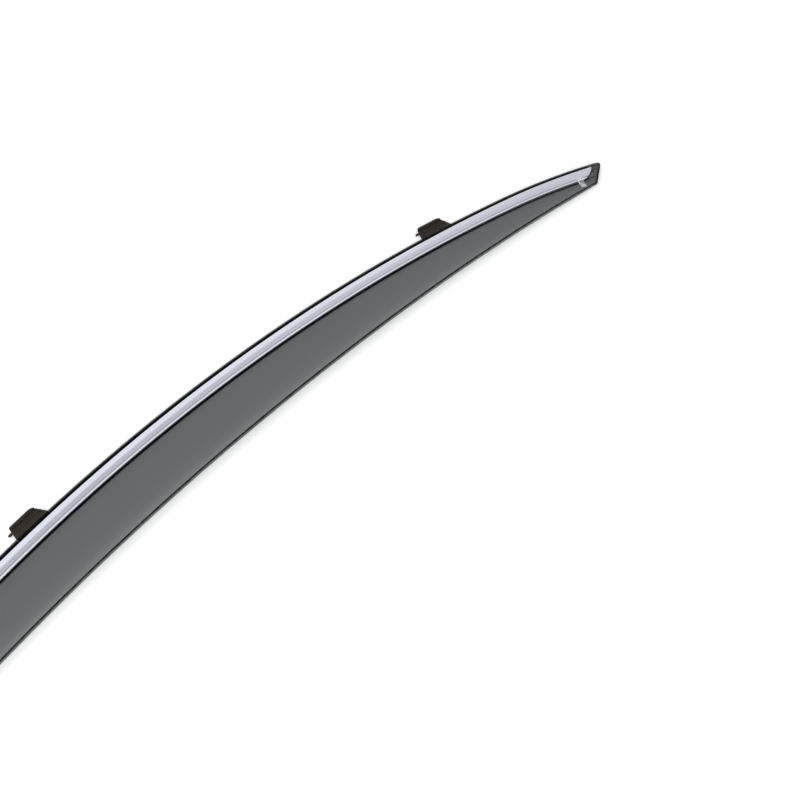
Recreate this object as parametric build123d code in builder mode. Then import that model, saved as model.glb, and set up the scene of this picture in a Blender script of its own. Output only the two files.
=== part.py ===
from build123d import *
import math
import os

# Window rain deflector for a front side window, lying with its outer face up.
# X runs along the roof edge towards the nose, Y towards the roof, Z out of the outer face.
# The origin is on the face that goes against the door frame, at the crown of the roof edge
# and midway across the inner row of mounting tape. All sizes are in millimetres.

# Plan: the roof edge is a long sweep that tightens towards the nose, and the lower edge is
# one arc from the nose to a knee and another from the knee to the rear end
roof_radius = 1840.0
nose_radius = 750.0
rear_length = 506.0
front_length = 280.0
nose_length = 139.0
rear_width = 82.0
rear_rake = 10.0
nose_width = 35.0
nose_rake = 32.0
knee_station = 350.0
knee_width = 84.3
lower_edge_radius = 3235.0
corner_radius = 4.0

# Cross-section of the shell, from the roof edge towards the window
wall = 2.5
flange_edge_round = 1.0
groove_width = 2.0
panel_radius = 300.0
crown_offset = 92.0
lip_drop = 3.0
lip_wall = 2.4
lip_round = 0.8
rear_band = 9.0
rear_wall = 2.4
rear_lean = 20.0

# Bright trim: a rolled strip with a crest and a beaded window side, taped over a rail
trim_inset = 6.6
trim_width = 14.4
trim_gauge = 0.5
trim_bend = 0.8
trim_shoulder = 2.9
trim_crest = 4.1
bead_width = 2.0
bead_drop = 0.45
bead_ramp = 0.8
foot_gap = 0.15
trim_tape_gauge = 0.5
trim_tape_inset = 0.6
bond_gap = 0.05
rail_clearance = 0.4

# Ends of the trim: a slanted front end against the nose pad, and a black cap at the rear
trim_front_setback = 18.0
trim_front_slant = 16.5
trim_front_bulge = 3.0
end_gap = 0.4
nose_rim = 3.0
nose_pad_lean = 45.0
cap_edge_inset = 1.0
cap_overlap = 5.0
cap_lean = 25.0

# Mounting tape in two rows, and its release liner
tape_gauge = 1.1
liner_gauge = 0.2
tape_inset = 1.0
tape_nose_setback = 15.0
tape_margin = 1.0
row_gap = 1.8
tape_clip_gap = 0.6

# Clips that reach out past the roof edge
clip_rear_setback = 145.0
clip_front_setback = 227.5
clip_root_length = 41.0
clip_edge_length = 30.0
clip_edge_shift = -2.5
clip_reach = 15.0
clip_floor_gap = 0.2
clip_front_round = 8.0
clip_rear_round = 2.0
clip_hook_width = 2.6
clip_hook_rise = 2.2
clip_rib_width = 1.6
clip_rib_rise = 0.7
clip_nub_length = 12.0
clip_nub_width = 2.4
clip_nub_offset = 9.0
pocket_depth = 0.7
pocket_clearance = 0.2

# Clear film tab left on the window side of the trim, near its front end
film_gauge = 0.15
film_width = 10.0
film_setback = 34.5
film_overlap = 3.6
film_lap = 8.0
film_bend = 0.6
film_gap = 0.1

# Sizes that follow
base = tape_gauge + liner_gauge
flange_top = base + wall
flange_width = trim_inset + trim_width + groove_width
trim_far = trim_inset + trim_width
trim_middle = trim_inset + trim_width / 2
bead_start = trim_far - bead_width
rail_near = trim_inset + trim_gauge + rail_clearance
rail_far = bead_start - rail_clearance
rail_stack = trim_gauge + trim_tape_gauge + 2 * bond_gap
trim_rear_setback = rear_band + cap_overlap
tape_row = (flange_width - tape_inset - tape_margin - row_gap) / 2
outer_row = (tape_inset, tape_inset + tape_row)
inner_row = (flange_width - tape_margin - tape_row, flange_width - tape_margin)
inner_row_middle = (inner_row[0] + inner_row[1]) / 2
clip_base_depth = tape_inset + tape_row
clip_top = base + pocket_depth
edge_length = rear_length + front_length + nose_length
overrun = rear_width * math.sin(math.radians(rear_rake)) + corner_radius
section_reach = rear_width + edge_length**2 / (8 * roof_radius)
end_reach = rear_width + nose_width
panel_rise = panel_radius - math.sqrt(panel_radius**2 - (crown_offset - flange_width) ** 2)
panel_crown = flange_top + panel_rise
deep = 3 * panel_crown
up = Vector(0, 0, 1)

# The roof edge, run on past both ends so that every sweep can be cut to the outline
with BuildLine() as roof_edge:
    long_sweep = CenterArc(
        (0, inner_row_middle - roof_radius),
        roof_radius,
        90 + math.degrees((rear_length + overrun) / roof_radius),
        -math.degrees((rear_length + overrun + front_length) / roof_radius),
    )
    JernArc(
        long_sweep @ 1,
        long_sweep % 1,
        nose_radius,
        -math.degrees((nose_length + overrun) / nose_radius),
    )
edge_wire = roof_edge.wire()


def edge_plane(station):
    """Plane square to the roof edge: X towards the window, Y up, station from the rear end."""
    along = station + overrun
    spot = edge_wire.position_at(along, position_mode=PositionMode.LENGTH)
    heading = edge_wire.tangent_at(along, position_mode=PositionMode.LENGTH)
    return Plane(origin=spot, x_dir=heading.cross(up), z_dir=-heading)


def plan_plane(station, height):
    """Level plane at the roof edge: X towards the nose, Y out past the edge."""
    section = edge_plane(station)
    return Plane(origin=section.origin + up * height, x_dir=-section.z_dir, z_dir=up)


def plan_point(station, inset):
    """Point in plan at a station, a distance inside the roof edge."""
    return edge_plane(station).from_local_coords(Vector(inset, 0, 0))


def run(start, finish):
    """The stretch of the roof edge between two stations."""
    whole = edge_length + 2 * overrun
    return edge_wire.trim((start + overrun) / whole, (finish + overrun) / whole)


def panel_height(inset, depth=0.0):
    """Height of the panel's outer face, or of the face that lies a depth below it."""
    radius = panel_radius - depth
    return panel_crown - panel_radius + math.sqrt(radius**2 - (crown_offset - inset) ** 2)


def trim_height(inset, depth=0.0):
    """Height of the trim's two outer facets, or of the faces that lie a depth below them."""
    slope = (trim_crest - trim_shoulder) / (trim_width / 2)
    drop = depth * math.sqrt(1 + slope**2)
    return flange_top + trim_crest - slope * abs(inset - trim_middle) - drop


# Outline in plan, between the roof edge, the raked ends and the lower edge
rear_line = edge_plane(0).x_dir.rotate(Axis.Z, -rear_rake)
nose_line = edge_plane(edge_length).x_dir.rotate(Axis.Z, -nose_rake)
rear_top = plan_point(0, 0)
nose_top = plan_point(edge_length, 0)
rear_low = rear_top + rear_line * rear_width
nose_low = nose_top + nose_line * nose_width
knee = plan_point(knee_station, knee_width)
with BuildSketch() as outline:
    with BuildLine():
        add(run(0, edge_length))
        Line(nose_top, nose_low)
        front_sweep = RadiusArc(nose_low, knee, -lower_edge_radius)
        TangentArc(knee, rear_low, tangent=front_sweep % 1)
        Line(rear_low, rear_top)
    make_face()
    outline_corners = [
        outline.vertices().sort_by_distance(corner)[0]
        for corner in (rear_top, rear_low, nose_low, nose_top)
    ]
    fillet(outline_corners, corner_radius)

# Upright planes along the two ends: X inwards from the end, Y up
rear_end = Plane(origin=rear_top, x_dir=up.cross(rear_line), z_dir=rear_line)
nose_end = Plane(origin=nose_top, x_dir=nose_line.cross(up), z_dir=-nose_line)


def end_cut(end, depth, lean=0.0, floor=-deep):
    """Solid outside a plane that crosses an end at a depth, leaning in above the flange."""
    slope = math.tan(math.radians(lean))
    with BuildPart() as cut:
        with BuildSketch(end):
            with BuildLine():
                Polyline(
                    (-end_reach, floor),
                    (depth + (floor - flange_top) * slope, floor),
                    (depth + (deep - flange_top) * slope, deep),
                    (-end_reach, deep),
                    close=True,
                )
            make_face()
        extrude(amount=end_reach, both=True)
    return cut.part


def below_panel(depth):
    """Solid below the face that lies a depth under the panel's outer face."""
    with BuildPart() as below:
        with BuildSketch(edge_plane(-overrun)):
            with BuildLine():
                near = (flange_width, panel_height(flange_width, depth))
                far = (section_reach, panel_height(section_reach, depth))
                Polyline(near, (flange_width, -deep), (section_reach, -deep), far)
                RadiusArc(far, near, -(panel_radius - depth))
            make_face()
        sweep(path=edge_wire)
    return below.part


def ahead_of_trim(shift, floor=flange_top):
    """Solid ahead of the slanted, bulging front end of the trim, moved on by a shift."""
    margin = groove_width / 2
    slant = trim_front_slant / trim_width
    with BuildPart() as ahead:
        with BuildSketch(Plane.XY.offset(floor)):
            with BuildLine():
                start = edge_length - trim_front_setback + shift
                near = plan_point(start + margin * slant, trim_inset - margin)
                far = plan_point(start - trim_front_slant - margin * slant, trim_far + margin)
                tip = edge_length + overrun
                SagittaArc(near, far, trim_front_bulge)
                Polyline(far, plan_point(tip, trim_far + margin), plan_point(tip, 0), near)
            make_face()
        extrude(amount=deep)
    return ahead.part


# Hollow under the panel, closed by the rear wall, the nose wall and the lower lip
under_wall = below_panel(wall)
rear_wall_body = end_cut(rear_end, rear_band + rear_wall, rear_lean)
with BuildPart() as air_channel:
    add(under_wall)
    with BuildSketch(Plane.XY.offset(-deep)):
        add(outline.sketch)
        offset(amount=-lip_wall)
    extrude(amount=2 * deep, mode=Mode.INTERSECT)
    add(rear_wall_body, mode=Mode.SUBTRACT)

# Room under the lower lip, which stops at the rear wall and at the nose wall
under_lip = below_panel(wall + lip_drop)
nose_wall_body = end_cut(nose_end, lip_wall)
with BuildPart() as lip_relief:
    add(under_lip)
    add(rear_wall_body, mode=Mode.SUBTRACT)
    add(nose_wall_body, mode=Mode.SUBTRACT)

# Nose pad that carries the line of the trim on towards the tip
pad_room = ahead_of_trim(end_gap)
nose_slope = end_cut(nose_end, nose_rim, nose_pad_lean, flange_top)
with BuildPart() as nose_pad:
    pad_start = edge_length - trim_front_setback - 2 * trim_front_slant
    with BuildSketch(edge_plane(pad_start)):
        with BuildLine():
            Polyline(
                (trim_inset, flange_top),
                (trim_inset, trim_height(trim_inset)),
                (trim_middle, trim_height(trim_middle)),
                (trim_far, trim_height(trim_far) - bead_drop),
                (trim_far, flange_top),
                close=True,
            )
        make_face()
    sweep(path=run(pad_start, edge_length))
    add(pad_room, mode=Mode.INTERSECT)
    add(nose_slope, mode=Mode.SUBTRACT)

# Hollow that leaves the nose pad one wall thick
pad_hollow_room = ahead_of_trim(end_gap + wall, 0)
pad_hollow_end = end_cut(
    nose_end, nose_rim + wall / math.cos(math.radians(nose_pad_lean)), nose_pad_lean
)
with BuildPart() as pad_hollow:
    with BuildSketch(edge_plane(pad_start)):
        with BuildLine():
            hollow_near = trim_inset + wall
            hollow_far = trim_far - wall
            Polyline(
                (hollow_near, 0),
                (hollow_near, trim_height(hollow_near, wall)),
                (trim_middle, trim_height(trim_middle, wall)),
                (hollow_far, trim_height(hollow_far, wall) - bead_drop),
                (hollow_far, 0),
                close=True,
            )
        make_face()
    sweep(path=run(pad_start, edge_length))
    add(pad_hollow_room, mode=Mode.INTERSECT)
    add(pad_hollow_end, mode=Mode.SUBTRACT)

# Visor shell: one smoked acrylic moulding with flange, rail, panel, lip, nose and rear band
clip_stations = {
    "clip_rear": clip_rear_setback,
    "clip_front": edge_length - clip_front_setback,
}
rear_step = end_cut(rear_end, rear_band, rear_lean, flange_top)
with BuildPart() as visor_shell:
    with BuildSketch(edge_plane(-overrun)) as body_section:
        with BuildLine():
            panel_near = (flange_width, flange_top)
            panel_far = (section_reach, panel_height(section_reach))
            Polyline(
                panel_near,
                (rail_far, flange_top),
                (rail_far, trim_height(rail_far, rail_stack)),
                (trim_middle, trim_height(trim_middle, rail_stack)),
                (rail_near, trim_height(rail_near, rail_stack)),
                (rail_near, flange_top),
                (0, flange_top),
                (0, base),
                (section_reach, base),
                panel_far,
            )
            RadiusArc(panel_far, panel_near, -panel_radius)
        make_face()
        roof_corner = body_section.vertices().sort_by_distance((0, flange_top))[0]
        fillet(roof_corner, flange_edge_round)
    sweep(path=edge_wire)
    with BuildSketch(Plane.XY.offset(-deep)):
        add(outline.sketch)
    extrude(amount=2 * deep, mode=Mode.INTERSECT)
    add(air_channel.part, mode=Mode.SUBTRACT)
    add(lip_relief.part, mode=Mode.SUBTRACT)
    add(rear_step, mode=Mode.SUBTRACT)
    add(nose_slope, mode=Mode.SUBTRACT)
    add(nose_pad.part)
    add(pad_hollow.part, mode=Mode.SUBTRACT)
    for station in clip_stations.values():
        with BuildSketch(plan_plane(station, 0)):
            with Locations((0, (clip_reach - clip_base_depth - pocket_clearance) / 2)):
                Rectangle(
                    clip_root_length + 2 * pocket_clearance,
                    clip_base_depth + pocket_clearance + clip_reach,
                )
        extrude(amount=base + pocket_depth, mode=Mode.SUBTRACT)
    curved_faces = visor_shell.faces().filter_by(GeomType.TORUS)
    upper_faces = curved_faces.filter_by(lambda face: face.normal_at().Z > 0)
    knee_on_lip = knee + up * (panel_height(knee_width) - lip_drop)
    lower_sides = visor_shell.faces().sort_by_distance(knee_on_lip)[:2]
    fillet(lower_sides.edges() & upper_faces.edges(), lip_round)

# Bright trim: stainless strip rolled to shape, open below, cut off along both ends
trim_rear_body = end_cut(rear_end, trim_rear_setback)
trim_front_body = ahead_of_trim(0)
with BuildPart() as chrome_trim:
    with BuildSketch(edge_plane(-overrun)):
        with BuildLine():
            inside_near = trim_inset + trim_gauge
            inside_far = trim_far - trim_gauge
            ramp_near = bead_start - bead_ramp / 2
            ramp_far = bead_start + bead_ramp / 2
            FilletPolyline(
                (inside_near, flange_top + foot_gap),
                (inside_near, trim_height(inside_near, trim_gauge)),
                (trim_middle, trim_height(trim_middle, trim_gauge)),
                (ramp_near, trim_height(ramp_near, trim_gauge)),
                (ramp_far, trim_height(ramp_far, trim_gauge) - bead_drop),
                (inside_far, trim_height(inside_far, trim_gauge) - bead_drop),
                (inside_far, flange_top + foot_gap),
                radius=trim_bend,
            )
            offset(amount=trim_gauge, side=Side.LEFT)
        make_face()
    sweep(path=run(-overrun, edge_length))
    add(trim_rear_body, mode=Mode.SUBTRACT)
    add(trim_front_body, mode=Mode.SUBTRACT)

# Double-sided tape between the trim and the crown of the rail
trim_tape_rear_body = end_cut(rear_end, trim_rear_setback + trim_tape_inset)
trim_tape_front_body = ahead_of_trim(-trim_tape_inset)
with BuildPart() as trim_tape:
    with BuildSketch(edge_plane(-overrun)):
        with BuildLine():
            tape_near = rail_near + trim_tape_inset
            tape_far = rail_far - trim_tape_inset
            tape_top = trim_gauge + bond_gap
            tape_foot = tape_top + trim_tape_gauge
            Polyline(
                (tape_near, trim_height(tape_near, tape_top)),
                (trim_middle, trim_height(trim_middle, tape_top)),
                (tape_far, trim_height(tape_far, tape_top)),
                (tape_far, trim_height(tape_far, tape_foot)),
                (trim_middle, trim_height(trim_middle, tape_foot)),
                (tape_near, trim_height(tape_near, tape_foot)),
                close=True,
            )
        make_face()
    sweep(path=run(-overrun, edge_length))
    add(trim_tape_rear_body, mode=Mode.SUBTRACT)
    add(trim_tape_front_body, mode=Mode.SUBTRACT)

# Rear cap: black moulding on the rear band that closes the trim and straddles the rail end
cap_front_body = end_cut(rear_end, trim_rear_setback - end_gap)
cap_slope = end_cut(rear_end, cap_edge_inset, cap_lean, flange_top)
rail_mouth = end_cut(rear_end, rear_band - rail_clearance)
with BuildPart() as rail_room:
    with BuildSketch(edge_plane(-overrun)):
        with BuildLine():
            room_near = rail_near - rail_clearance
            room_far = rail_far + rail_clearance
            Polyline(
                (room_near, flange_top),
                (room_near, trim_height(room_near, trim_gauge + bond_gap)),
                (trim_middle, trim_height(trim_middle, trim_gauge + bond_gap)),
                (room_far, trim_height(room_far, trim_gauge + bond_gap)),
                (room_far, flange_top),
                close=True,
            )
        make_face()
    sweep(path=run(-overrun, rear_length))
    add(rail_mouth, mode=Mode.SUBTRACT)
with BuildPart() as rear_trim_cap:
    with BuildSketch(edge_plane(-overrun)):
        with BuildLine():
            Polyline(
                (trim_inset, flange_top),
                (trim_inset, trim_height(trim_inset)),
                (trim_middle, trim_height(trim_middle)),
                (trim_far, trim_height(trim_far)),
                (trim_far, flange_top),
                close=True,
            )
        make_face()
    sweep(path=run(-overrun, rear_length))
    add(cap_front_body, mode=Mode.INTERSECT)
    add(cap_slope, mode=Mode.SUBTRACT)
    add(rail_room.part, mode=Mode.SUBTRACT)

# Clips: nylon plates bedded in the back of the flange, each with a hooked outer edge
clip_rear_corner = (clip_edge_shift - clip_edge_length / 2, clip_reach)
clip_front_corner = (clip_edge_shift + clip_edge_length / 2, clip_reach)
with BuildSketch() as clip_tongue:
    with BuildLine():
        Polyline(
            (-clip_root_length / 2, 0),
            clip_rear_corner,
            clip_front_corner,
            (clip_root_length / 2, 0),
            close=True,
        )
    make_face()
    fillet(clip_tongue.vertices().sort_by_distance(clip_rear_corner)[0], clip_rear_round)
    fillet(clip_tongue.vertices().sort_by_distance(clip_front_corner)[0], clip_front_round)
clips = {}
for name, station in clip_stations.items():
    with BuildPart() as clip:
        with BuildSketch(plan_plane(station, clip_floor_gap)):
            add(clip_tongue.sketch)
            with Locations((0, -clip_base_depth / 2)):
                Rectangle(clip_root_length, clip_base_depth)
            with Locations((clip_rear_corner[0], clip_nub_offset)):
                SlotOverall(clip_nub_length, clip_nub_width)
        extrude(amount=clip_top - clip_floor_gap)
        with BuildSketch(plan_plane(station, clip_top)):
            add(clip_tongue.sketch)
            with Locations((0, clip_reach - clip_hook_width / 2)):
                Rectangle(clip_root_length, clip_hook_width, mode=Mode.INTERSECT)
        extrude(amount=clip_hook_rise)
        with BuildSketch(plan_plane(station, clip_top)):
            add(clip_tongue.sketch)
            with Locations((0, clip_reach / 2)):
                Rectangle(clip_root_length, clip_rib_width, mode=Mode.INTERSECT)
        extrude(amount=clip_rib_rise)
    clips[name] = clip.part

# Mounting tape and release liner: an inner row, an outer row broken at the clips, a rear strip
clip_room = clip_root_length / 2 + tape_clip_gap
clip_behind = clip_stations["clip_rear"]
clip_ahead = clip_stations["clip_front"]
rows = {
    "inner": (inner_row, -overrun, edge_length),
    "outer_rear": (outer_row, -overrun, clip_behind - clip_room),
    "outer_middle": (outer_row, clip_behind + clip_room, clip_ahead - clip_room),
    "outer_front": (outer_row, clip_ahead + clip_room, edge_length),
}
layers = {"tape": (liner_gauge, tape_gauge), "liner": (0, liner_gauge)}
tape_rear_body = end_cut(rear_end, 2 * tape_margin)
tape_nose_body = end_cut(nose_end, tape_nose_setback)
tapes = {}
for layer, (foot, gauge) in layers.items():
    for row, ((near, far), start, finish) in rows.items():
        with BuildPart() as strip:
            with BuildSketch(edge_plane(start)):
                with Locations(((near + far) / 2, foot + gauge / 2)):
                    Rectangle(far - near, gauge)
            sweep(path=run(start, finish))
            add(tape_rear_body, mode=Mode.SUBTRACT)
            add(tape_nose_body, mode=Mode.SUBTRACT)
        tapes[f"{layer}_{row}"] = strip.part
    with BuildPart() as strip:
        with BuildSketch(rear_end.offset(flange_width + row_gap)):
            with Locations((rear_band / 2, foot + gauge / 2)):
                Rectangle(rear_band - 2 * tape_margin, gauge)
        extrude(amount=rear_width - flange_width - row_gap - corner_radius)
    tapes[f"{layer}_rear_band"] = strip.part

# Film tab: clear pull tab stuck to the trim, hanging over the groove on to the panel
with BuildPart() as film_tab:
    film_rear = edge_length - film_setback - film_width
    with BuildSketch(edge_plane(film_rear)):
        with BuildLine():
            film_near = trim_far - film_overlap
            film_edge = trim_far + film_gap
            film_foot = flange_width + film_lap / 2
            film_far = flange_width + film_lap
            FilletPolyline(
                (film_near, trim_height(film_near) + film_gap),
                (film_edge, trim_height(film_edge) + film_gap),
                (film_foot, panel_height(film_foot) + film_gap),
                (film_far, panel_height(film_far) + film_gap),
                radius=film_bend,
            )
            offset(amount=film_gauge, side=Side.LEFT)
        make_face()
    sweep(path=run(film_rear, film_rear + film_width))

pieces = {
    "visor_shell": visor_shell.part,
    "chrome_trim": chrome_trim.part,
    "trim_tape": trim_tape.part,
    "rear_trim_cap": rear_trim_cap.part,
    "film_tab": film_tab.part,
    **clips,
    **tapes,
}
os.makedirs("parts", exist_ok=True)
for name, piece in pieces.items():
    piece.label = name
    export_step(piece, f"parts/{name}.step")
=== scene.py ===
import bpy
import bmesh
import math
from mathutils import Matrix, Vector


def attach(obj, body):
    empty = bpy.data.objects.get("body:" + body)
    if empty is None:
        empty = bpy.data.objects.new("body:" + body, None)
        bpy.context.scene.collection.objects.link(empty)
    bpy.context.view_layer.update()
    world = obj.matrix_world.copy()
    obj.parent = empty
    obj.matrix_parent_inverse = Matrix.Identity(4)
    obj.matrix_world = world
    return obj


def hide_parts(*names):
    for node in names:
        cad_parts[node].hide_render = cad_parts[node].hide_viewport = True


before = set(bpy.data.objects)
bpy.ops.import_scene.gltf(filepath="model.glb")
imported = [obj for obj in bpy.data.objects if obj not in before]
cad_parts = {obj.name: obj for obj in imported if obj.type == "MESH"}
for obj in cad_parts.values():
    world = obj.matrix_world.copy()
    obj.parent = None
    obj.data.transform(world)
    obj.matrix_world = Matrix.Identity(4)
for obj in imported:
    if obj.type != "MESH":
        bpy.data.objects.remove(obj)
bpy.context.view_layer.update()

# Studio: the part lies on plain white paper in a white room. The room is brightest low down and
# beyond the roof side, where the crest of the bright trim mirrors it, and dim above the camera.
# One softbox stands at the rear end and a low one on the window side, where the camera looks from.
bpy.context.scene.view_settings.view_transform = "Standard"


def aimed(spot, aim):
    """Placing of a camera or a lamp at a spot, turned to look at an aim."""
    turn = (Vector(aim) - Vector(spot)).to_track_quat("-Z", "Y")
    return Matrix.Translation(spot) @ turn.to_matrix().to_4x4()


camera_data = bpy.data.cameras.new("camera")
camera_data.lens = 50.0
camera_data.sensor_width = 36.0
camera = bpy.data.objects.new("camera", camera_data)
bpy.context.collection.objects.link(camera)
camera.matrix_world = aimed((-0.35965, -0.59348, 1.0207), (0.01533, -0.13889, 0.0))
bpy.context.scene.camera = camera

floor_reach = 4.0
floor_drop = 0.0002
bm = bmesh.new()
bmesh.ops.create_grid(bm, x_segments=1, y_segments=1, size=floor_reach)
bmesh.ops.translate(bm, verts=bm.verts, vec=(0, 0, -floor_drop))
floor_mesh = bpy.data.meshes.new("paper_floor")
bm.to_mesh(floor_mesh)
bm.free()
floor = bpy.data.objects.new("paper_floor", floor_mesh)
bpy.context.collection.objects.link(floor)

# The paper is lifted to white for the camera, in the metal and through the panel
paper_lift = 0.23
paper = bpy.data.materials.new("white_paper")
paper.use_nodes = True
nodes, links = paper.node_tree.nodes, paper.node_tree.links
nodes.clear()
paper_out = nodes.new("ShaderNodeOutputMaterial")
paper_sum = nodes.new("ShaderNodeAddShader")
paper_matt = nodes.new("ShaderNodeBsdfDiffuse")
paper_matt.inputs["Color"].default_value = (0.88, 0.885, 0.885, 1)
paper_glow = nodes.new("ShaderNodeEmission")
ray = nodes.new("ShaderNodeLightPath")
seen = nodes.new("ShaderNodeMath")
seen.operation = "MAXIMUM"
seen_through = nodes.new("ShaderNodeMath")
seen_through.operation = "MAXIMUM"
glow_level = nodes.new("ShaderNodeMath")
glow_level.operation = "MULTIPLY"
glow_level.inputs[1].default_value = paper_lift
links.new(ray.outputs["Is Camera Ray"], seen.inputs[0])
links.new(ray.outputs["Is Glossy Ray"], seen.inputs[1])
links.new(seen.outputs[0], seen_through.inputs[0])
links.new(ray.outputs["Is Transmission Ray"], seen_through.inputs[1])
links.new(seen_through.outputs[0], glow_level.inputs[0])
links.new(glow_level.outputs[0], paper_glow.inputs["Strength"])
links.new(paper_matt.outputs[0], paper_sum.inputs[0])
links.new(paper_glow.outputs[0], paper_sum.inputs[1])
links.new(paper_sum.outputs[0], paper_out.inputs["Surface"])
floor_mesh.materials.append(paper)

# Brighter and dimmer sides of the room: the way to each, where it fades in and what it adds
room_level = 0.72
room_sides = [
    ((0.0, 0.0, -1.0), -0.42, -0.2, 0.28),
    ((-0.25, 0.968, 0.0), 0.38, 0.85, 0.55),
    ((1.0, 0.0, 0.0), 0.0, 0.45, 0.12),
    ((0.24, -0.64, 0.73), 0.93, 0.985, -0.27),
]
world = bpy.data.worlds.new("white_room")
bpy.context.scene.world = world
world.use_nodes = True
nodes, links = world.node_tree.nodes, world.node_tree.links
room = nodes["Background"]
room.inputs["Color"].default_value = (0.985, 0.99, 1.0, 1)
bearing = nodes.new("ShaderNodeTexCoord")
sum_so_far = None
for facing, near, far, level in room_sides:
    side = nodes.new("ShaderNodeVectorMath")
    side.operation = "DOT_PRODUCT"
    side.inputs[1].default_value = facing
    fade = nodes.new("ShaderNodeMapRange")
    fade.interpolation_type = "SMOOTHSTEP"
    fade.inputs["From Min"].default_value = near
    fade.inputs["From Max"].default_value = far
    fade.inputs["To Min"].default_value = 0.0
    fade.inputs["To Max"].default_value = level
    total = nodes.new("ShaderNodeMath")
    total.inputs[0].default_value = room_level
    if sum_so_far is not None:
        links.new(sum_so_far, total.inputs[0])
    links.new(bearing.outputs["Generated"], side.inputs[0])
    links.new(side.outputs["Value"], fade.inputs["Value"])
    links.new(fade.outputs["Result"], total.inputs[1])
    sum_so_far = total.outputs[0]
links.new(sum_so_far, room.inputs["Strength"])

for name, spot, aim, width, height, power in (
    ("rear_softbox", (-1.35, 0.63, 1.0), (0.0, -0.05, 0.0), 1.4, 1.0, 6.0),
    ("low_softbox", (-0.75, -1.35, 0.6), (-0.2, -0.1, 0.0), 2.0, 0.6, 15.0),
):
    lamp_data = bpy.data.lights.new(name, "AREA")
    lamp_data.shape = "RECTANGLE"
    lamp_data.size = width
    lamp_data.size_y = height
    lamp_data.energy = power
    lamp = bpy.data.objects.new(name, lamp_data)
    bpy.context.collection.objects.link(lamp)
    lamp.matrix_world = aimed(spot, aim)

# Visor shell: one piece of smoked acrylic, moulded to shape. A flat flange along the roof edge
# takes the mounting tape and carries a rail for the trim; from it a bowed panel runs down to a
# turned-in lower lip. The nose is raked and sloped, and a flat band closes the rear end.
millimetre = 0.001
roof_radius = 1840.0
nose_radius = 750.0
rear_length = 506.0
front_length = 280.0
nose_length = 139.0
edge_length = rear_length + front_length + nose_length
origin_inset = 17.2
rear_width = 82.0
rear_rake = 10.0
nose_width = 35.0
nose_rake = 32.0
knee_station = 350.0
knee_width = 84.3
lower_edge_radius = 3235.0
corner_radius = 4.0
wall = 2.5
flange_under = 1.3
flange_top = flange_under + wall
flange_width = 23.0
flange_round = 1.0
panel_radius = 300.0
crown_offset = 92.0
panel_rise = panel_radius - math.sqrt(panel_radius**2 - (crown_offset - flange_width) ** 2)
panel_crown = flange_top + panel_rise
lip_wall = 2.4
lip_drop = 3.0
lip_depth = wall + lip_drop
lip_round = 0.8

# The trim that lies over the rail sets the height of the rail and of the nose pad
trim_inset = 6.6
trim_width = 14.4
trim_far = trim_inset + trim_width
trim_middle = trim_inset + trim_width / 2
trim_shoulder = 2.9
trim_crest = 4.1
trim_slope = (trim_crest - trim_shoulder) / (trim_width / 2)
trim_gauge = 0.5
bead_drop = 0.45
rail_clearance = 0.4
rail_near = trim_inset + trim_gauge + rail_clearance
rail_far = 18.6
rail_stack = 1.1

roof_centre = Vector((0.0, origin_inset - roof_radius))
nose_turn = front_length / roof_radius
nose_centre = roof_centre + (roof_radius - nose_radius) * Vector(
    (math.sin(nose_turn), math.cos(nose_turn))
)


def roof_arc(station):
    """Centre, radius and turn of the roof edge at a station measured from the rear end."""
    along = station - rear_length
    if along <= front_length:
        return roof_centre, roof_radius, along / roof_radius
    return nose_centre, nose_radius, nose_turn + (along - front_length) / nose_radius


def roof_point(station, inset):
    """Point in plan, a distance inside the roof edge."""
    centre, radius, turn = roof_arc(station)
    return centre + (radius - inset) * Vector((math.sin(turn), math.cos(turn)))


def inset_at(spot, arc):
    """How far a point in plan lies inside an arc of the roof edge."""
    return arc[1] - (spot - arc[0]).length


def inward(station, skew):
    """Direction from the roof edge towards the window, turned back by a skew in degrees."""
    turn = roof_arc(station)[2] + math.radians(skew)
    return Vector((-math.sin(turn), -math.cos(turn)))


def meet(line, centre, radius):
    """Point where a line across the shell first comes inside a circle."""
    start, heading = line
    away = start - centre
    along = away.dot(heading)
    return start + heading * (-along - math.sqrt(along**2 - away.length_squared + radius**2))


def panel_height(inset, depth=0.0):
    """Height of the bowed panel's outer face, or of the face a depth below it."""
    radius = panel_radius - depth
    return panel_crown - panel_radius + math.sqrt(radius**2 - (crown_offset - inset) ** 2)


def trim_height(inset, depth=0.0):
    """Height of the trim's two facets, or of the faces a depth below them."""
    facet = flange_top + trim_crest - trim_slope * abs(inset - trim_middle)
    return facet - depth * math.hypot(1.0, trim_slope)


rear_heading = inward(0.0, rear_rake)
nose_heading = inward(edge_length, nose_rake)
rear_top = roof_point(0.0, 0.0)
nose_top = roof_point(edge_length, 0.0)
rear_low = rear_top + rear_width * rear_heading
nose_low = nose_top + nose_width * nose_heading
knee = roof_point(knee_station, knee_width)
half_chord = (nose_low - knee) / 2
chord_side = Vector((half_chord.y, -half_chord.x)).normalized()
chord_height = math.sqrt(lower_edge_radius**2 - half_chord.length_squared)
front_centre = knee + half_chord + chord_height * chord_side
knee_facing = (front_centre - knee).normalized()
rear_radius = (rear_low - knee).length_squared / (2 * (rear_low - knee).dot(knee_facing))
rear_centre = knee + rear_radius * knee_facing

# Each end of the shell: its corner on the roof edge, its heading and the way in from it
rear_inwards = Vector((-rear_heading.y, rear_heading.x))
nose_inwards = Vector((nose_heading.y, -nose_heading.x))
ends = {
    "rear": (rear_top, rear_heading, rear_inwards),
    "nose": (nose_top, nose_heading, nose_inwards),
}
end_stations = {"rear": 0.0, "nose": edge_length}


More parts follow.
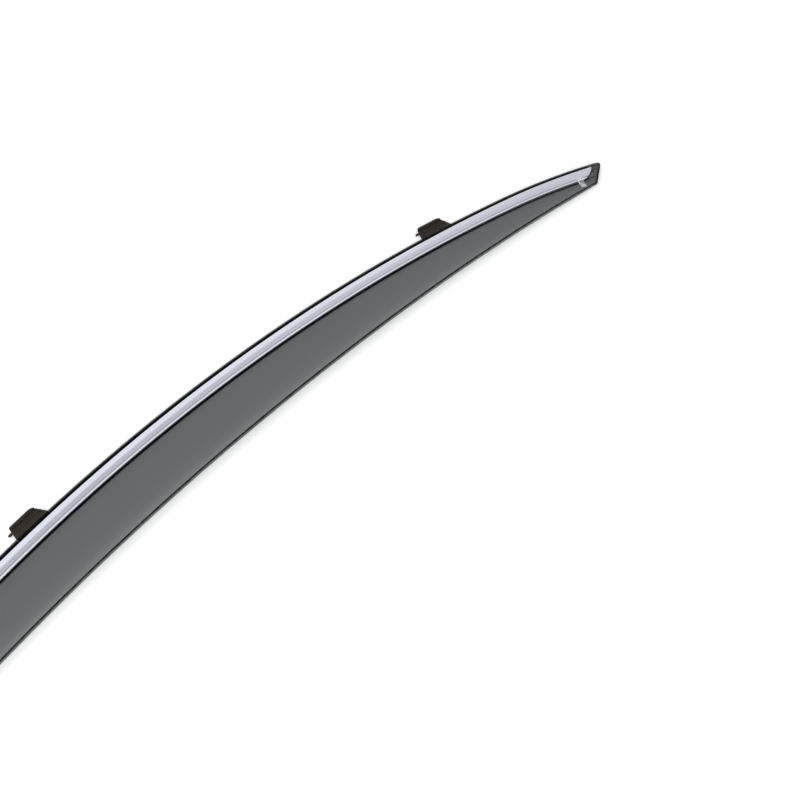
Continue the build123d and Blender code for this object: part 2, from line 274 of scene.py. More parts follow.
def lower_edge(line, margin):
    """Point where a line across the shell comes within a margin of the lower edge."""
    spot = meet(line, front_centre, lower_edge_radius + margin)
    return spot if spot.x > knee.x else meet(line, rear_centre, rear_radius + margin)


def end_line(end, depth):
    """Line across the shell, parallel to one of its ends and a depth in from it."""
    corner, heading, inwards = ends[end]
    return corner + depth * inwards, heading


rake_starts = 500.0
rake_ends = 890.0


def cross_line(station):
    """Line across the shell, turned more and more towards the rake of the nose."""
    share = min(max((station - rake_starts) / (rake_ends - rake_starts), 0.0), 1.0)
    skew = rear_rake + (nose_rake - rear_rake) * share * share * (3.0 - 2.0 * share)
    return roof_point(station, 0.0), inward(station, skew)


def across(line, arc, place, value, margin):
    """Point in plan where a line across the shell meets a column."""
    if place == "share":
        near = meet(line, arc[0], arc[1] - flange_width)
        return near.lerp(lower_edge(line, margin), value)
    if place == "rim":
        return lower_edge(line, value)
    return meet(line, arc[0], arc[1] - value)


# Columns of the outer face, from the roof edge to the lower edge: how each is placed and where, the
# surface it lies on, how far a rounded edge drops it below that, and its share of the painted shade,
# a darkening painted into the acrylic's colour where shade falls and rounded edges look dark. The
# middle of a rounded edge lies a set part of the radius inside both faces.
panel_steps = 15
panel_painted_shade = 0.16
mid_round = 0.29
panel_fold = ("inset", flange_width, "flange", 0.0, panel_painted_shade)
upper_columns = [
    ("inset", 0.0, "flange", flange_round, 0.7),
    ("inset", mid_round * flange_round, "flange", mid_round * flange_round, 0.7),
    ("inset", flange_round, "flange", 0.0, 0.72),
    ("inset", 2.0, "flange", 0.0, 0.8),
    ("inset", 3.5, "flange", 0.0, 0.9),
    ("inset", 5.0, "flange", 0.0, 0.95),
    ("rail", rail_near, "flange", 0.0, 0.95),
    ("rail", rail_near, "rail", 0.0, 0.0),
    ("rail", trim_middle, "rail", 0.0, 0.0),
    ("rail", rail_far, "rail", 0.0, 0.0),
    ("rail", rail_far, "flange", 0.0, 0.9),
    ("inset", flange_width - 0.5, "flange", 0.0, 0.9),
    panel_fold,
]
# Painted shade on the panel, darkest by the trim and fading towards the lower edge
for step in range(1, panel_steps - 1):
    share = step / panel_steps
    upper_columns.append(("share", share, "panel", 0.0, panel_painted_shade * (1 - share) ** 1.5))
# The lip's bend gets the full painted shade, a dark line along the lower edge
upper_columns += [
    ("rim", lip_round + 0.4, "panel", 0.0, 0.0),
    ("rim", lip_round, "panel", 0.0, 1.0),
    ("rim", mid_round * lip_round, "panel", mid_round * lip_round, 1.0),
    ("rim", 0.0, "panel", lip_round, 0.0),
]

# Columns of the inner face, as many as above: the underside of the flange, where the clips have
# their pockets and the nose pad its hollow, then the hollow side of the panel and the lip
clip_depth = 10.6
pocket_clearance = 0.2
pocket_reach = clip_depth + pocket_clearance
mouth_near = 6.9
side_near = 9.0
mouth_far = 18.0
pocket_insets = (0.0, 0.4, 1.0, 2.0, 3.5, 5.0, mouth_near, side_near, pocket_reach)
hollow_fold = ("inset", flange_width + 0.3, "under")
lower_columns = [
    *(("inset", inset, "pocket") for inset in pocket_insets),
    *(("inset", inset, "under") for inset in (pocket_reach, mouth_far, 21.0)),
    hollow_fold,
    *(("share", step / panel_steps, "hollow") for step in range(1, panel_steps)),
    ("rim", lip_wall, "hollow"),
    ("rim", lip_wall, "lip"),
    ("rim", 0.0, "lip"),
]


def upper_level(surface, inset, padded):
    """Height of the outer face."""
    if surface == "panel":
        return panel_height(inset)
    if surface == "rail" and padded:
        return trim_height(inset) - bead_drop * max(inset - trim_middle, 0.0) / (trim_width / 2)
    if surface == "rail":
        return trim_height(inset, rail_stack)
    return flange_top


def lower_level(surface, inset):
    """Height of the inner face."""
    if surface == "hollow":
        return max(panel_height(inset, wall), flange_under)
    if surface == "lip":
        return max(panel_height(inset, lip_depth), flange_under)
    return flange_under


# The nose pad goes on from the trim, beyond a gap along a slanted and bulging line, and is hollow
# below. The columns of its hollow move to other insets, and some rise to its ceiling.
pad_length = 18.0
pad_gap = 0.4
pad_slant = 16.5 / trim_width
pad_bulge = 3.0
pad_margin = 1.0
nose_rim = 3.0
trim_end = edge_length - pad_length
pad_insets = {rail_near: trim_inset, trim_middle: trim_middle, rail_far: trim_far}
pad_hollow = {
    ("pocket", mouth_near): (trim_inset + wall, False),
    ("pocket", side_near): (trim_inset + wall, True),
    ("pocket", pocket_reach): (trim_middle, True),
    ("under", pocket_reach): (trim_far - wall, True),
    ("under", mouth_far): (trim_far - wall, False),
}
hollow_end = nose_rim + wall * math.sqrt(2.0)
hollow_edge = 4.1


def pad_line(inset, start):
    """Point in plan on the straight slanted line across the front end of the trim."""
    return roof_point(start - (inset - trim_inset) * pad_slant, inset)


def pad_spot(place, value, margin, shift=0.0):
    """Point in plan on the line where the nose pad starts, or a shift further on."""
    start = trim_end + pad_gap + shift
    if place in ("share", "rim"):
        line = (pad_line(flange_width, start), nose_heading)
        return across(line, roof_arc(edge_length), place, value, margin)
    bulge_near = trim_inset - pad_margin
    bulge_far = trim_far + pad_margin
    if not bulge_near <= value <= bulge_far:
        return pad_line(value, start)
    near = pad_line(bulge_near, start)
    far = pad_line(bulge_far, start)
    share = (value - bulge_near) / (bulge_far - bulge_near)
    chord = (far - near).normalized()
    return near.lerp(far, share) + 4 * pad_bulge * share * (1 - share) * Vector((-chord.y, chord.x))


def pad_ceiling(inset):
    """Height of the ceiling of the hollow below the nose pad."""
    return trim_height(inset, wall) - (bead_drop if inset > trim_middle else 0.0)


def upper_spot(row, column):
    """Place and height of a vertex of the outer face."""
    place, value, surface, drop, painted_shade = column
    padded = row.get("padded", False)
    if padded and place == "rail":
        value = pad_insets[value]
    if row["kind"] == "station":
        arc = roof_arc(row["station"])
        spot = across(cross_line(row["station"]), arc, place, value, lip_round)
    elif row["kind"] == "pad":
        arc = roof_arc(edge_length)
        spot = pad_spot(place, value, lip_round)
    else:
        arc = roof_arc(end_stations[row["end"]])
        spot = across(end_line(row["end"], row["depth"]), arc, place, value, lip_round)
    if row["kind"] == "flat":
        return spot, flange_top - max(drop, row["drop"])
    top = upper_level(surface, inset_at(spot, arc), padded)
    if row["kind"] != "step":
        return spot, top - drop
    # A leaned wall: its foot, both ends of its slope and its top, a little further on each time
    rise = top - flange_top
    soft = min(row["soft"], 0.3 * rise)
    level = (0.0, soft, rise - soft, rise)[row["step"]]
    onward = (-row["soft"], 0.05, 0.1, row["soft"])[row["step"]]
    depth = row["depth"] + onward + level * row["lean"]
    spot = across(end_line(row["end"], depth), arc, place, value, lip_round)
    if row["step"] == 3:
        return spot, upper_level(surface, inset_at(spot, arc), padded) - drop
    return spot, flange_top + level - drop


pocket_depth = 0.7


def lower_spot(row, column):
    """Place and height of a vertex of the inner face."""
    place, value, surface = column
    if row["below"] == "station":
        arc = roof_arc(row["station"])
        line = cross_line(row["station"])
        if surface == "pocket" and "square" in row:
            line = (roof_point(row["square"], 0.0), inward(row["square"], 0.0))
        spot = across(line, arc, place, value, lip_wall)
        if surface == "pocket":
            return spot, flange_under + (pocket_depth if row["pocket"] else 0.0)
        return spot, lower_level(surface, inset_at(spot, arc))
    arc = roof_arc(end_stations[row["end"]])
    if "pad_hollow" in row and (surface, value) in pad_hollow:
        inset, raised = pad_hollow[surface, value]
        ceiling = pad_ceiling(inset) if raised else flange_under
        if row["pad_hollow"] == "mouth":
            return pad_spot(place, inset, lip_wall, wall), flange_under
        if row["pad_hollow"] == "start":
            return pad_spot(place, inset, lip_wall, wall), ceiling
        if row["pad_hollow"] == "end":
            depth = max(hollow_end + ceiling - flange_top, hollow_edge)
            return across(end_line("nose", depth), arc, place, inset, lip_wall), ceiling
        return across(end_line("nose", row["foot"]), arc, place, inset, lip_wall), flange_under
    spot = across(end_line(row["end"], row["under"]), arc, place, value, lip_wall)
    if row["below"] == "flat":
        return spot, flange_under
    level = lower_level(surface, inset_at(spot, arc))
    depth = row["under"] + (level - flange_top) * row["under_lean"]
    return across(end_line(row["end"], depth), arc, place, value, lip_wall), level


def flat_row(end, depth, drop, under):
    """A row along the flat rim of an end, with its depths on the outer and the inner face."""
    return {"kind": "flat", "end": end, "depth": depth, "drop": drop, "below": "flat", "under": under}


# Rows of the rear end: the outermost ones round its edge, and four climb the leaned wall from the
# flat band to the panel, with a fifth close by that keeps the bend tight
rear_band = 9.0
rear_wall = 2.4
rear_hollow = rear_band + rear_wall
rear_lean = math.tan(math.radians(20.0))
bend_room = 1.2
rows = [{"kind": "zip", "end": "rear"}]
for depth, drop, under in (
    (0.0, 0.5, 0.0), (0.15, 0.15, 0.5), (0.5, 0.0, 1.2), (1.5, 0.0, 2.2),
    (2.7, 0.0, 3.4), (4.2, 0.0, 5.0), (6.3, 0.0, 7.0),
):
    rows.append(flat_row("rear", depth, drop, under))
for step, below, under in (
    (0, "flat", rear_band),
    (1, "flat", rear_hollow - wall * rear_lean),
    (2, "wall", rear_hollow),
    (3, "wall", rear_hollow + bend_room),
):
    rows.append({
        "kind": "step", "step": step, "end": "rear", "depth": rear_band, "soft": 0.6, "lean": rear_lean,
        "below": below, "under": under, "under_lean": rear_lean,
    })
rows.append(dict(rows[-1], depth=rear_band + bend_room, under=rear_hollow + 2 * bend_room))

# Rows along the shell, a step apart, with two close together at each side of a clip's pocket
rear_clip_station = 145.0
front_clip_setback = 227.5
clip_stations = (rear_clip_station, edge_length - front_clip_setback)
clip_length = 41.0
pocket_half = clip_length / 2 + pocket_clearance
pocket_side = 1.5
pocket_room = 4.0
first_station = 20.0
station_step = 10.0
station_count = 88
stations = [first_station + station_step * step for step in range(station_count)]
for clip in clip_stations:
    stations = [station for station in stations if abs(abs(station - clip) - pocket_half) > pocket_room]
station_rows = []
for station in stations:
    inside = any(abs(station - clip) < pocket_half for clip in clip_stations)
    station_rows.append({"kind": "station", "station": station, "below": "station", "pocket": inside})
for clip in clip_stations:
    for side in (-pocket_half, pocket_half):
        for shift in (-pocket_side, pocket_side):
            station_rows.append({
                "kind": "station", "station": clip + side + shift, "below": "station",
                "square": clip + side, "pocket": shift * side < 0,
            })
rows += sorted(station_rows, key=lambda row: row["station"])

# Rows of the nose: two where the pad starts, four down its sloped end, and those of its flat rim
rows.append({
    "kind": "pad", "end": "nose", "below": "wall", "under": 16.0, "under_lean": 0.0,
    "pad_hollow": "mouth",
})
rows.append(dict(rows[-1], padded=True, under=10.0, pad_hollow="start"))
for step, below, under, hollow, foot in (
    (3, "wall", 6.0, "end", 0.0),
    (2, "wall", lip_wall, "foot", hollow_end - wall),
    (1, "flat", lip_wall, "foot", 3.2),
    (0, "flat", 2.0, "foot", 2.0),
):
    rows.append({
        "kind": "step", "step": step, "end": "nose", "depth": nose_rim, "soft": 0.4, "lean": 1.0,
        "below": below, "under": under, "under_lean": 0.0, "padded": True, "pad_hollow": hollow,
        "foot": foot,
    })
for depth, drop, under in ((1.5, 0.0, 1.5), (0.5, 0.0, 0.9), (0.15, 0.15, 0.4), (0.0, 0.5, 0.0)):
    rows.append(dict(flat_row("nose", depth, drop, under), padded=True))
rows.append({"kind": "zip", "end": "nose", "padded": True})


def beside(spot, centre):
    """Direction of the lower edge at a point on it, towards the nose."""
    away = spot - centre
    return Vector((away.y, -away.x))


# The four corners in plan, with the two sides of each and how far along them it is rounded
corners = []
for corner, side_a, side_b in (
    (rear_top, rear_heading, roof_point(corner_radius, 0.0) - rear_top),
    (nose_top, nose_heading, roof_point(edge_length - corner_radius, 0.0) - nose_top),
    (rear_low, -rear_heading, beside(rear_low, rear_centre)),
    (nose_low, -nose_heading, -beside(nose_low, front_centre)),
):
    side_a, side_b = side_a.normalized(), side_b.normalized()
    half = side_a.angle(side_b) / 2
    reach = corner_radius * (1 / math.sin(half) - 1) / ((2 - math.sqrt(2.0)) * math.cos(half))
    corners.append((corner, side_a, side_b, reach))


def rounded(spot):
    """A point in plan, drawn in where it lies in one of the four rounded corners."""
    for corner, side_a, side_b, reach in corners:
        away = spot - corner
        area = side_a.x * side_b.y - side_a.y * side_b.x
        a = 1 - (away.x * side_b.y - away.y * side_b.x) / area / reach
        b = 1 - (side_a.x * away.y - side_a.y * away.x) / area / reach
        if 0 < a < 1.001 and 0 < b < 1.001:
            drawn_a = a * math.sqrt(1 - b * b / 2)
            drawn_b = b * math.sqrt(1 - a * a / 2)
            return corner + reach * ((1 - drawn_a) * side_a + (1 - drawn_b) * side_b)
    return spot


seam_height = 2.4


def ring(row):
    """The closed line round the shell at a row: along the outer face and back along the inner."""
    if row["kind"] == "zip":
        flat = dict(row, kind="flat", depth=0.0, drop=0.0)
        seam = [(upper_spot(flat, column)[0], seam_height) for column in upper_columns]
        return seam + seam[::-1]
    outer = [upper_spot(row, column) for column in upper_columns]
    inner = [lower_spot(row, column) for column in lower_columns]
    return outer + inner[::-1]


# Painted shade of the nose, by step up from its rim, and the stations between which the groove's
# painted shade fades
nose_painted_shade = {"rim": 1.0, 0: 0.8, 1: 0.7, 2: 0.4, 3: 0.0}
groove_shade_full = 700.0
groove_shade_gone = 880.0


def painted_shade_at(row, column):
    """Share of the painted shade at a vertex. The groove's painted shade fades towards the nose, whose
    rim is darkest.
    """
    if column >= len(upper_columns):
        return 0.0
    place, value, surface, drop, painted_shade = upper_columns[column]
    if row.get("padded") and place == "rail":
        painted_shade = 0.0
    elif rail_far <= value < flange_width:
        station = row["station"] if row["kind"] == "station" else end_stations[row["end"]]
        painted_shade *= min(max((groove_shade_gone - station) / (groove_shade_gone - groove_shade_full), 0.0), 1.0)
    if row.get("end") == "nose" and row["kind"] != "pad":
        painted_shade = max(painted_shade, nose_painted_shade[row.get("step", "rim")])
    return painted_shade


# A grid is rolled into the shell, with one line of it for each ring
rings = [ring(row) for row in rows]
around = len(rings[0])
fold_columns = (upper_columns.index(panel_fold), around - 1 - lower_columns.index(hollow_fold))
bm = bmesh.new()
bmesh.ops.create_grid(bm, x_segments=around, y_segments=len(rings) - 1, size=1.0)
# Each vertex carries its share of painted shade, which the acrylic's colour reads
painted_edge_shade = bm.verts.layers.float.new("painted_edge_shade")
fold = bm.verts.layers.int.new("fold")
for vert in bm.verts:
    column = round((vert.co.x + 1) / 2 * around) % around
    row = round((vert.co.y + 1) / 2 * (len(rings) - 1))
    spot, height = rings[row][column]
    spot = rounded(spot)
    vert.co = (spot.x, spot.y, height)
    vert[painted_edge_shade] = painted_shade_at(rows[row], column)
    vert[fold] = column in fold_columns
bmesh.ops.remove_doubles(bm, verts=bm.verts, dist=0.02)
bmesh.ops.dissolve_degenerate(bm, dist=0.01, edges=bm.edges)
bmesh.ops.recalc_face_normals(bm, faces=bm.faces)
bmesh.ops.scale(bm, vec=(millimetre, millimetre, millimetre), verts=bm.verts)
shading_break = math.radians(40.0)
for face in bm.faces:
    face.smooth = True
for edge in bm.edges:
    folded = all(vert[fold] for vert in edge.verts)
    edge.smooth = edge.calc_face_angle(0.0) < shading_break and not folded
bm.verts.layers.int.remove(fold)
shell_mesh = bpy.data.meshes.new("smoked_visor")
bm.to_mesh(shell_mesh)
bm.free()
shell = bpy.data.objects.new("smoked_visor", shell_mesh)
bpy.context.collection.objects.link(shell)
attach(shell, "root")
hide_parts("visor_shell")

grain = bpy.data.node_groups.new("fine_grain", "ShaderNodeTree")
for name in ("Scale", "Detail", "Smoothest", "Roughest"):
    grain.interface.new_socket(name, in_out="INPUT", socket_type="NodeSocketFloat")
for name in ("Roughness", "Height"):
    grain.interface.new_socket(name, in_out="OUTPUT", socket_type="NodeSocketFloat")
grain_in = grain.nodes.new("NodeGroupInput")
grain_out = grain.nodes.new("NodeGroupOutput")
grain_place = grain.nodes.new("ShaderNodeTexCoord")
grain_noise = grain.nodes.new("ShaderNodeTexNoise")
grain_range = grain.nodes.new("ShaderNodeMapRange")
grain_range.inputs["From Min"].default_value = 0.3
grain_range.inputs["From Max"].default_value = 0.7
grain.links.new(grain_place.outputs["Object"], grain_noise.inputs["Vector"])
grain.links.new(grain_in.outputs["Scale"], grain_noise.inputs["Scale"])
grain.links.new(grain_in.outputs["Detail"], grain_noise.inputs["Detail"])
grain.links.new(grain_noise.outputs["Fac"], grain_range.inputs["Value"])
grain.links.new(grain_in.outputs["Smoothest"], grain_range.inputs["To Min"])
grain.links.new(grain_in.outputs["Roughest"], grain_range.inputs["To Max"])
grain.links.new(grain_range.outputs["Result"], grain_out.inputs["Roughness"])
grain.links.new(grain_noise.outputs["Fac"], grain_out.inputs["Height"])


def grained(material, scale, detail, smoothest, roughest, depth):
    """Gives a material's shader the fine grain as roughness and as bumps of a depth in metres."""
    tree = material.node_tree
    shader = tree.nodes["Principled BSDF"]
    texture = tree.nodes.new("ShaderNodeGroup")
    texture.node_tree = grain
    texture.inputs["Scale"].default_value = scale
    texture.inputs["Detail"].default_value = detail
    texture.inputs["Smoothest"].default_value = smoothest
    texture.inputs["Roughest"].default_value = roughest
    bump = tree.nodes.new("ShaderNodeBump")
    bump.inputs["Strength"].default_value = 1.0
    bump.inputs["Distance"].default_value = depth
    tree.links.new(texture.outputs["Roughness"], shader.inputs["Roughness"])
    tree.links.new(texture.outputs["Height"], bump.inputs["Height"])
    tree.links.new(bump.outputs["Normal"], shader.inputs["Normal"])
    return shader


acrylic = bpy.data.materials.new("smoked_acrylic")
acrylic.use_nodes = True
shader = grained(acrylic, scale=45.0, detail=2.0, smoothest=0.015, roughest=0.06, depth=0.00003)
nodes, links = acrylic.node_tree.nodes, acrylic.node_tree.links
# Painted shade: each vertex's share darkens the colour and the tint of reflections from white to
# near-black, standing in for shade at the edges, groove and lip
painted_shade = nodes.new("ShaderNodeAttribute")
painted_shade.attribute_name = "painted_edge_shade"
painted_shade_mix = nodes.new("ShaderNodeMix")
painted_shade_mix.data_type = "RGBA"
painted_shade_mix.inputs["A"].default_value = (1.0, 1.0, 1.0, 1)
painted_shade_mix.inputs["B"].default_value = (0.006, 0.0075, 0.005, 1)
links.new(painted_shade.outputs["Fac"], painted_shade_mix.inputs["Factor"])
links.new(painted_shade_mix.outputs["Result"], shader.inputs["Base Color"])
links.new(painted_shade_mix.outputs["Result"], shader.inputs["Specular Tint"])
shader.inputs["IOR"].default_value = 1.49
shader.inputs["Transmission Weight"].default_value = 1.0
smoke = nodes.new("ShaderNodeVolumeAbsorption")
smoke.inputs["Color"].default_value = (0.04, 0.085, 0.085, 1)
smoke.inputs["Density"].default_value = 485.0
links.new(smoke.outputs["Volume"], nodes["Material Output"].inputs["Volume"])
shell_mesh.materials.append(acrylic)

# Bright trim: a strip of polished stainless steel, rolled to a crest with a beaded window edge
# and turned down along both sides. It is bonded over the rail with thin double-sided tape.
trim_foot = flange_top + 0.15
trim_overrun = 12.0
trim_rear_setback = 14.0
bead_start = 17.55

# Bends of the strip from its roof side to its window side: inset, height and radius
trim_bends = [
    (trim_inset, trim_foot, 0.0),
    (trim_inset, flange_top + trim_shoulder, 0.8),
    (trim_middle, trim_height(trim_middle), 1.0),
    (bead_start, trim_height(bead_start), 0.2),
    (18.75, 6.4, 0.15),
    (20.35, 6.9, 0.2),
    (20.8, 6.7, 0.2),
    (trim_far, 6.2, 0.15),
    (trim_far, trim_foot, 0.0),
]
bm = bmesh.new()
profile = []
for inset, height, bend in trim_bends:
    spot = roof_point(-trim_overrun, inset)
    profile.append(bm.verts.new((spot.x, spot.y, height)))
for near, far in zip(profile, profile[1:]):
    bm.edges.new((near, far))
for vert, (inset, height, bend) in zip(profile, trim_bends):
    if bend:
        bmesh.ops.bevel(
            bm, geom=[vert], offset=bend, segments=4, profile=0.5, affect="VERTICES", material=-1
        )
flats = [edge for edge in bm.edges if edge.calc_length() > 1.0]
bmesh.ops.subdivide_edges(bm, edges=flats, cuts=5)
turned = bmesh.ops.spin(
    bm, geom=bm.verts[:] + bm.edges[:], cent=(roof_centre.x, roof_centre.y, 0), axis=(0, 0, 1),
    angle=-(trim_overrun + rear_length + front_length) / roof_radius, steps=160,
)
bmesh.ops.spin(
    bm, geom=turned["geom_last"], cent=(nose_centre.x, nose_centre.y, 0), axis=(0, 0, 1),
    angle=-nose_length / nose_radius, steps=40,
)
rear_cut = rear_top + trim_rear_setback * rear_inwards
bmesh.ops.bisect_plane(
    bm, geom=bm.verts[:] + bm.edges[:] + bm.faces[:], plane_co=(rear_cut.x, rear_cut.y, 0),
    plane_no=(-rear_inwards.x, -rear_inwards.y, 0), clear_outer=True,
)

# The front end is cut along the bulging line that the nose pad follows, facet by facet
tip_facets = 7
tip_reach = 80.0
tip_near = pad_line(trim_inset - pad_margin, trim_end)
tip_far = pad_line(trim_far + pad_margin, trim_end)
tip_chord = tip_far - tip_near
tip_forward = Vector((-tip_chord.y, tip_chord.x)).normalized()
tip_radius = tip_chord.length_squared / (8 * pad_bulge) + pad_bulge / 2
tip_centre = (tip_near + tip_far) / 2 + tip_forward * (pad_bulge - tip_radius)
tip_spread = math.asin(tip_chord.length / 2 / tip_radius)
for step in range(-tip_facets, tip_facets + 1):
    facing = Matrix.Rotation(step / tip_facets * tip_spread, 2) @ tip_forward
    cut = tip_centre + tip_radius * facing
    end_faces = [
        face for face in bm.faces if (face.calc_center_median().xy - tip_centre).length < tip_reach
    ]
    end_edges = list(dict.fromkeys(edge for face in end_faces for edge in face.edges))
    end_verts = list(dict.fromkeys(vert for face in end_faces for vert in face.verts))
    bmesh.ops.bisect_plane(
        bm, geom=end_verts + end_edges + end_faces, plane_co=(cut.x, cut.y, 0),
        plane_no=(facing.x, facing.y, 0), clear_outer=True,
    )
bmesh.ops.remove_doubles(bm, verts=bm.verts, dist=0.005)
bmesh.ops.recalc_face_normals(bm, faces=bm.faces)
if sum(face.normal.z * face.calc_area() for face in bm.faces) < 0:
    bmesh.ops.reverse_faces(bm, faces=bm.faces)

# The strip's own map runs along it and across it, in metres
rolling = bm.loops.layers.uv.new("along_the_strip")
for face in bm.faces:
    face.smooth = True
    for loop in face.loops:
        spot = loop.vert.co.xy
        turn = math.atan2(spot.x - roof_centre.x, spot.y - roof_centre.y)
        along = turn * roof_radius
        arc = (roof_centre, roof_radius)
        if turn > nose_turn:
            turn = math.atan2(spot.x - nose_centre.x, spot.y - nose_centre.y) - nose_turn
            along = front_length + turn * nose_radius
            arc = (nose_centre, nose_radius)
        loop[rolling].uv = (along * millimetre, inset_at(spot, arc) * millimetre)
bmesh.ops.scale(bm, vec=(millimetre, millimetre, millimetre), verts=bm.verts)
strip_break = math.radians(35.0)
for edge in bm.edges:
    edge.smooth = not edge.is_boundary and edge.calc_face_angle(0.0) < strip_break
trim_mesh = bpy.data.meshes.new("bright_strip")
bm.to_mesh(trim_mesh)
bm.free()
trim = bpy.data.objects.new("bright_strip", trim_mesh)
bpy.context.collection.objects.link(trim)
sheet = trim.modifiers.new("sheet_gauge", "SOLIDIFY")
sheet.thickness = trim_gauge * millimetre
sheet.offset = -1.0
sheet.use_even_offset = True
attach(trim, "root")
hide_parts("chrome_trim")

polished = bpy.data.materials.new("polished_stainless")
polished.use_nodes = True
nodes, links = polished.node_tree.nodes, polished.node_tree.links
shader = nodes["Principled BSDF"]
shader.inputs["Base Color"].default_value = (0.645, 0.655, 0.735, 1)
shader.inputs["Metallic"].default_value = 1.0
strip = nodes.new("ShaderNodeUVMap")
strip.uv_map = "along_the_strip"
stretch = nodes.new("ShaderNodeMapping")
stretch.inputs["Scale"].default_value = (8.0, 2600.0, 1.0)
lines = nodes.new("ShaderNodeTexNoise")
lines.inputs["Scale"].default_value = 1.0
lines.inputs["Detail"].default_value = 3.0
polish = nodes.new("ShaderNodeMapRange")
polish.inputs["From Min"].default_value = 0.3
polish.inputs["From Max"].default_value = 0.7
polish.inputs["To Min"].default_value = 0.07
polish.inputs["To Max"].default_value = 0.16
long_stretch = nodes.new("ShaderNodeMapping")
long_stretch.inputs["Scale"].default_value = (6.0, 420.0, 1.0)
waves = nodes.new("ShaderNodeTexNoise")
waves.inputs["Scale"].default_value = 1.0
waves.inputs["Detail"].default_value = 2.0
roll_marks = nodes.new("ShaderNodeBump")
roll_marks.inputs["Distance"].default_value = 0.00004
links.new(strip.outputs["UV"], stretch.inputs["Vector"])
links.new(stretch.outputs["Vector"], lines.inputs["Vector"])
links.new(lines.outputs["Fac"], polish.inputs["Value"])
links.new(polish.outputs["Result"], shader.inputs["Roughness"])
links.new(strip.outputs["UV"], long_stretch.inputs["Vector"])
links.new(long_stretch.outputs["Vector"], waves.inputs["Vector"])
links.new(waves.outputs["Fac"], roll_marks.inputs["Height"])
links.new(roll_marks.outputs["Normal"], shader.inputs["Normal"])
trim_mesh.materials.append(polished)

# Rear cap: a small black moulding that closes the rear end of the trim and sits on the band.
# Its edges are eased as a mould leaves them.
def eased_copy(node, name, ease):
    """A merged copy of a node's solid with its sharp edges rounded."""
    bm = bmesh.new()
    bm.from_mesh(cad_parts[node].data)
    bmesh.ops.remove_doubles(bm, verts=bm.verts, dist=0.000002)
    bmesh.ops.dissolve_limit(bm, angle_limit=math.radians(1.0), verts=bm.verts, edges=bm.edges)
    sharp = [edge for edge in bm.edges if edge.calc_face_angle(0.0) > math.radians(30.0)]
    bmesh.ops.bevel(
        bm, geom=sharp, offset=ease, segments=3, profile=0.5, affect="EDGES", clamp_overlap=True,
        material=-1,
    )
    for face in bm.faces:
        face.smooth = True
    for edge in bm.edges:
        edge.smooth = edge.calc_face_angle(0.0) < shading_break
    mesh = bpy.data.meshes.new(name)
    bm.to_mesh(mesh)
    bm.free()
    piece = bpy.data.objects.new(name, mesh)
    bpy.context.collection.objects.link(piece)
    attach(piece, "root")
    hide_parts(node)
    return piece


cap = eased_copy("rear_trim_cap", "trim_end_cap", 0.0005)
cap_plastic = bpy.data.materials.new("black_moulding")
cap_plastic.use_nodes = True
shader = grained(cap_plastic, scale=900.0, detail=2.0, smoothest=0.32, roughest=0.45, depth=0.00001)
shader.inputs["Base Color"].default_value = (0.012, 0.012, 0.013, 1)
cap.data.materials.append(cap_plastic)

# Clips: two nylon plates bedded in the back of the flange. Each has a raised hook along its
# outer edge, a low rib across the middle and a small nub on its rear side.
nylon = bpy.data.materials.new("brown_black_nylon")
nylon.use_nodes = True
shader = grained(nylon, scale=700.0, detail=3.0, smoothest=0.5, roughest=0.7, depth=0.00002)
shader.inputs["Base Color"].default_value = (0.021, 0.0155, 0.0105, 1)
shader.inputs["Specular IOR Level"].default_value = 0.25
for node in ("clip_rear", "clip_front"):
    clip = eased_copy(node, "nylon_" + node, 0.0004)
    clip.data.materials.append(nylon)

# Foam tape: black acrylic foam in two rows along the flange and a strip on the rear band, and a
# thin strip that bonds the trim to its rail.
foam = bpy.data.materials.new("black_foam")
foam.use_nodes = True
shader = grained(foam, scale=1800.0, detail=4.0, smoothest=0.8, roughest=0.95, depth=0.00015)
shader.inputs["Base Color"].default_value = (0.010, 0.010, 0.010, 1)
tape_runs = ("inner", "outer_rear", "outer_middle", "outer_front", "rear_band")
for node in (*("tape_" + run for run in tape_runs), "trim_tape"):
    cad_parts[node].data.materials.clear()
    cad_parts[node].data.materials.append(foam)

# Release liners: red film on the open side of the tape, one for each run of it. They are peeled
# off when the part is fitted.
liner = bpy.data.materials.new("red_liner_film")
liner.use_nodes = True
shader = grained(liner, scale=350.0, detail=2.0, smoothest=0.3, roughest=0.42, depth=0.00004)
shader.inputs["Base Color"].default_value = (0.50, 0.022, 0.02, 1)
for run in tape_runs:
    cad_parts["liner_" + run].data.materials.clear()
    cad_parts["liner_" + run].data.materials.append(liner)

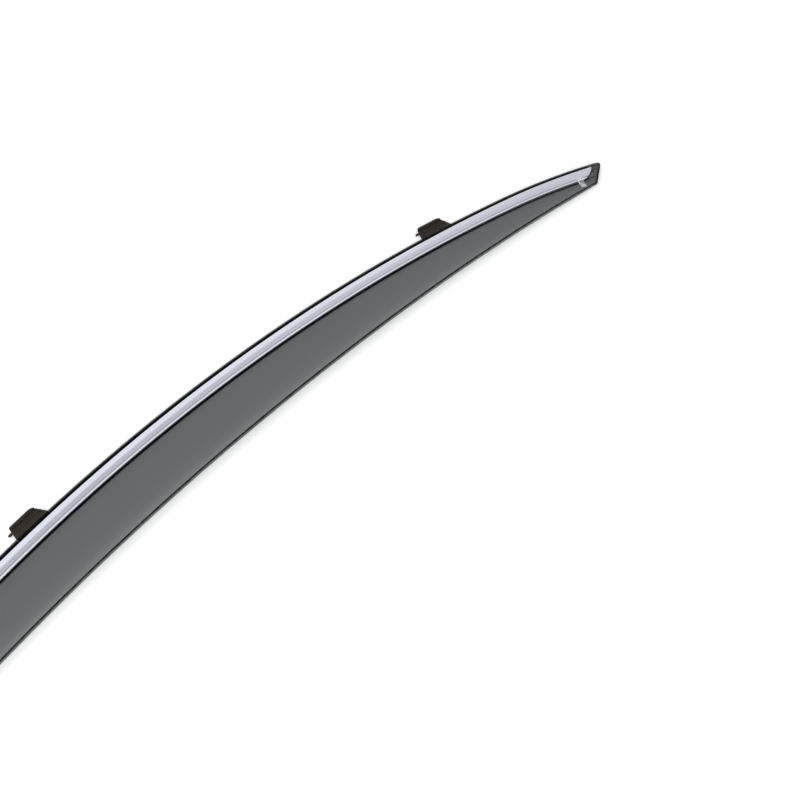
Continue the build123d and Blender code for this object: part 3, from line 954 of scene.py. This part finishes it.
# Film tab: a scrap of clear protective film, stuck to the window side of the trim near its front
# end and left hanging over the groove on to the panel. It is thin and creased.
film_station = 885.5
film_half_width = 4.2
film_taper = 1.0
film_drift = 0.8
film_lift = 0.13
film_path = [
    (17.2, 7.36), (18.6, 7.12), (19.6, 7.0), (20.5, 6.98), (21.2, 6.6),
    (22.2, 5.9), (23.8, 5.35), (26.0, 5.2), (29.0, 5.6), (32.0, 6.3),
]
film_steps = len(film_path) - 1
film_columns = 24
bm = bmesh.new()
bmesh.ops.create_grid(bm, x_segments=film_columns, y_segments=film_steps, size=1.0)
weave = bm.loops.layers.uv.new("along_the_film")
for face in bm.faces:
    for loop in face.loops:
        loop[weave].uv = loop.vert.co.xy
for vert in bm.verts:
    side = vert.co.x
    step = round((vert.co.y + 1) / 2 * film_steps)
    inset, height = film_path[step]
    loose = step / film_steps
    crease = 0.5 + 0.3 * math.sin(9.0 * side + 2.6 * loose)
    crease += 0.2 * math.sin(23.0 * side - 4.0 * loose + 1.0)
    station = film_station + side * (film_half_width - film_taper * loose) + film_drift * loose
    ragged = 0.7 * math.sin(4.0 * side + 0.6) * loose
    spot = roof_point(station, inset + ragged)
    vert.co = (spot.x, spot.y, height + film_lift + crease * (0.1 + 1.3 * loose))
bmesh.ops.recalc_face_normals(bm, faces=bm.faces)
bmesh.ops.scale(bm, vec=(millimetre, millimetre, millimetre), verts=bm.verts)
for face in bm.faces:
    face.smooth = True
film_mesh = bpy.data.meshes.new("film_scrap")
bm.to_mesh(film_mesh)
bm.free()
film = bpy.data.objects.new("film_scrap", film_mesh)
bpy.context.collection.objects.link(film)
fullness = film.modifiers.new("creases", "SUBSURF")
fullness.levels = 2
fullness.render_levels = 2
gauge = film.modifiers.new("film_gauge", "SOLIDIFY")
gauge.thickness = 0.0001
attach(film, "root")
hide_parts("film_tab")

clear = bpy.data.materials.new("clear_film")
clear.use_nodes = True
shader = grained(clear, scale=260.0, detail=2.0, smoothest=0.15, roughest=0.3, depth=0.00005)
shader.inputs["Base Color"].default_value = (0.86, 0.88, 0.92, 1)
nodes, links = clear.node_tree.nodes, clear.node_tree.links
film_sheet = nodes.new("ShaderNodeUVMap")
film_sheet.uv_map = "along_the_film"
folds = nodes.new("ShaderNodeMapping")
folds.inputs["Scale"].default_value = (5.0, 0.9, 1.0)
folds.inputs["Rotation"].default_value = (0.0, 0.0, 0.35)
white_folds = nodes.new("ShaderNodeTexNoise")
white_folds.inputs["Scale"].default_value = 1.0
white_folds.inputs["Detail"].default_value = 3.0
clouded = nodes.new("ShaderNodeMapRange")
clouded.inputs["From Min"].default_value = 0.44
clouded.inputs["From Max"].default_value = 0.62
clouded.inputs["To Min"].default_value = 0.04
clouded.inputs["To Max"].default_value = 0.6
links.new(film_sheet.outputs["UV"], folds.inputs["Vector"])
links.new(folds.outputs["Vector"], white_folds.inputs["Vector"])
links.new(white_folds.outputs["Fac"], clouded.inputs["Value"])
links.new(clouded.outputs["Result"], shader.inputs["Alpha"])
film_mesh.materials.append(clear)
